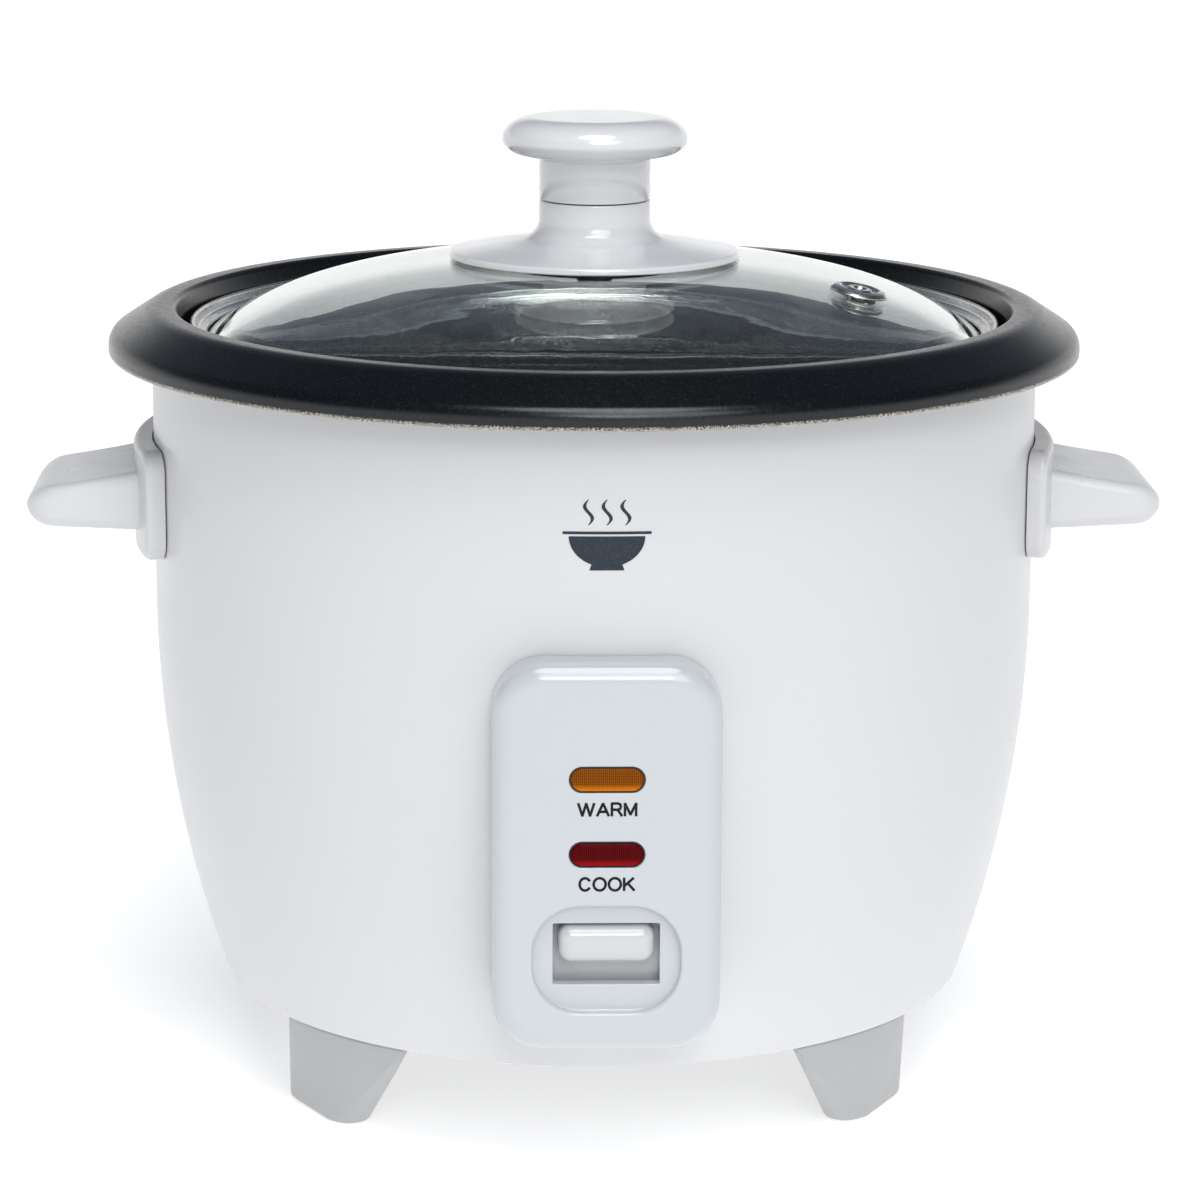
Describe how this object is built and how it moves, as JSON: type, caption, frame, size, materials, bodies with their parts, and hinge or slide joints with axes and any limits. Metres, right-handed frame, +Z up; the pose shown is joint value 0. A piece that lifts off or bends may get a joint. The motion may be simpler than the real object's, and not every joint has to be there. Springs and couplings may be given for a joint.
{
  "type": "rice cooker",
  "caption": "Drum rice cooker with a painted casing, coated lift-out pot, domed glass lid with a knob, stub handles, and a front panel with lamps and a cook paddle.",
  "frame": {"origin": "centre of the footprint, on the surface that the feet stand on", "axes": "+Z up, the control panel faces -Y, the handles point along X"},
  "size_m": [0.2394, 0.2054, 0.2055],
  "materials": {
    "white_paint": "satin gloss",
    "white_plastic": "satin gloss",
    "grey_plastic": "gloss",
    "foot_plastic": "fine texture",
    "dark_plastic": "matt",
    "black_coat": "satin non-stick coating",
    "liner_metal": "plain",
    "cast_aluminium": "machined",
    "bright_steel": "bright",
    "zinc_steel": "zinc plated",
    "brass": "plain",
    "ferrite": "sintered",
    "mica": "sheet",
    "silicone": "matt",
    "wire_sleeve": "woven sleeve",
    "lamp_glass": "clear",
    "lid_glass": "clear, faint green",
    "amber_lens": "clear amber",
    "red_lens": "clear red"
  },
  "bodies": {
    "housing": {"outer_casing": "white_paint", "inner_liner": "liner_metal", "base_cover": "foot_plastic", "heating_plate": "cast_aluminium", "heating_element": "zinc_steel", "keep_warm_heater": "mica", "thermostat_bracket": "zinc_steel", "lever_bracket": "zinc_steel", "lever_pivot_pin": "bright_steel", "microswitch_body": "dark_plastic", "thermal_fuse": "cast_aluminium", "base_standoff_1": "brass", "base_screw_1": "zinc_steel", "base_standoff_2": "brass", "base_screw_2": "zinc_steel", "base_standoff_3": "brass", "base_screw_3": "zinc_steel", "control_panel": "grey_plastic", "warm_lens": "amber_lens", "cook_lens": "red_lens", "warm_lamp": "lamp_glass", "cook_lamp": "lamp_glass", "lamp_holder": "dark_plastic", "panel_screw_1": "zinc_steel", "panel_screw_2": "zinc_steel", "handle_left": "white_plastic", "handle_right": "white_plastic", "handle_screw_1": "zinc_steel", "handle_screw_2": "zinc_steel", "handle_screw_3": "zinc_steel", "handle_screw_4": "zinc_steel", "power_inlet": "dark_plastic", "inlet_pin_live": "brass", "inlet_pin_neutral": "brass", "inlet_pin_earth": "brass", "inlet_screw_1": "zinc_steel", "inlet_screw_2": "zinc_steel", "wire_live": "wire_sleeve", "wire_neutral": "wire_sleeve", "wire_switch": "wire_sleeve", "wire_lamp": "wire_sleeve", "magnet_spring": "bright_steel", "cup_spring": "bright_steel"},
    "pot": {"inner_pot": "black_coat"},
    "lid": {"lid_glass": "lid_glass", "lid_band": "bright_steel", "steam_vent_eyelet": "bright_steel", "knob_grip": "grey_plastic", "knob_base": "grey_plastic", "knob_gasket": "silicone", "knob_washer": "bright_steel", "knob_screw": "bright_steel"},
    "cook_lever": {"cook_paddle": "grey_plastic", "switch_lever": "zinc_steel"},
    "magnet_plunger": {"magnet": "ferrite", "magnet_rod": "bright_steel"},
    "sensor": {"sensor_cup": "cast_aluminium", "ferrite_core": "ferrite"},
    "switch_button": {"microswitch_button": "white_plastic"}
  },
  "joints": [
    {"name": "pot_lift", "type": "slide", "parent": "housing", "child": "pot", "axis": [0, 0, 1], "range_m": [0, 0.12]},
    {"name": "lid_lift", "type": "slide", "parent": "pot", "child": "lid", "axis": [0, 0, 1], "range_m": [0, 0.1]},
    {"name": "cook_press", "type": "hinge", "parent": "housing", "child": "cook_lever", "pos_m": [0, -0.06, 0.046], "axis": [1, 0, 0], "range_deg": [0, 5.2], "stiffness_Nm_per_rad": 0.6, "springref_deg": -4.58},
    {"name": "magnet_rise", "type": "slide", "parent": "housing", "child": "magnet_plunger", "axis": [0, 0, 1], "range_m": [0, 0.0056], "deforming": ["magnet_spring"]},
    {"name": "button_press", "type": "slide", "parent": "housing", "child": "switch_button", "axis": [0, 0, 1], "range_m": [-0.0014, 0]},
    {"name": "sensor_press", "type": "slide", "parent": "housing", "child": "sensor", "axis": [0, 0, 1], "range_m": [-0.001, 0], "stiffness_N_per_m": 1500, "springref_m": 0.002, "deforming": ["cup_spring"]}
  ],
  "couplings": [
    {"joint": "magnet_rise", "follows": "cook_press", "m_per_rad": 0.06},
    {"joint": "button_press", "follows": "cook_press", "m_per_rad": -0.0143}
  ]
}
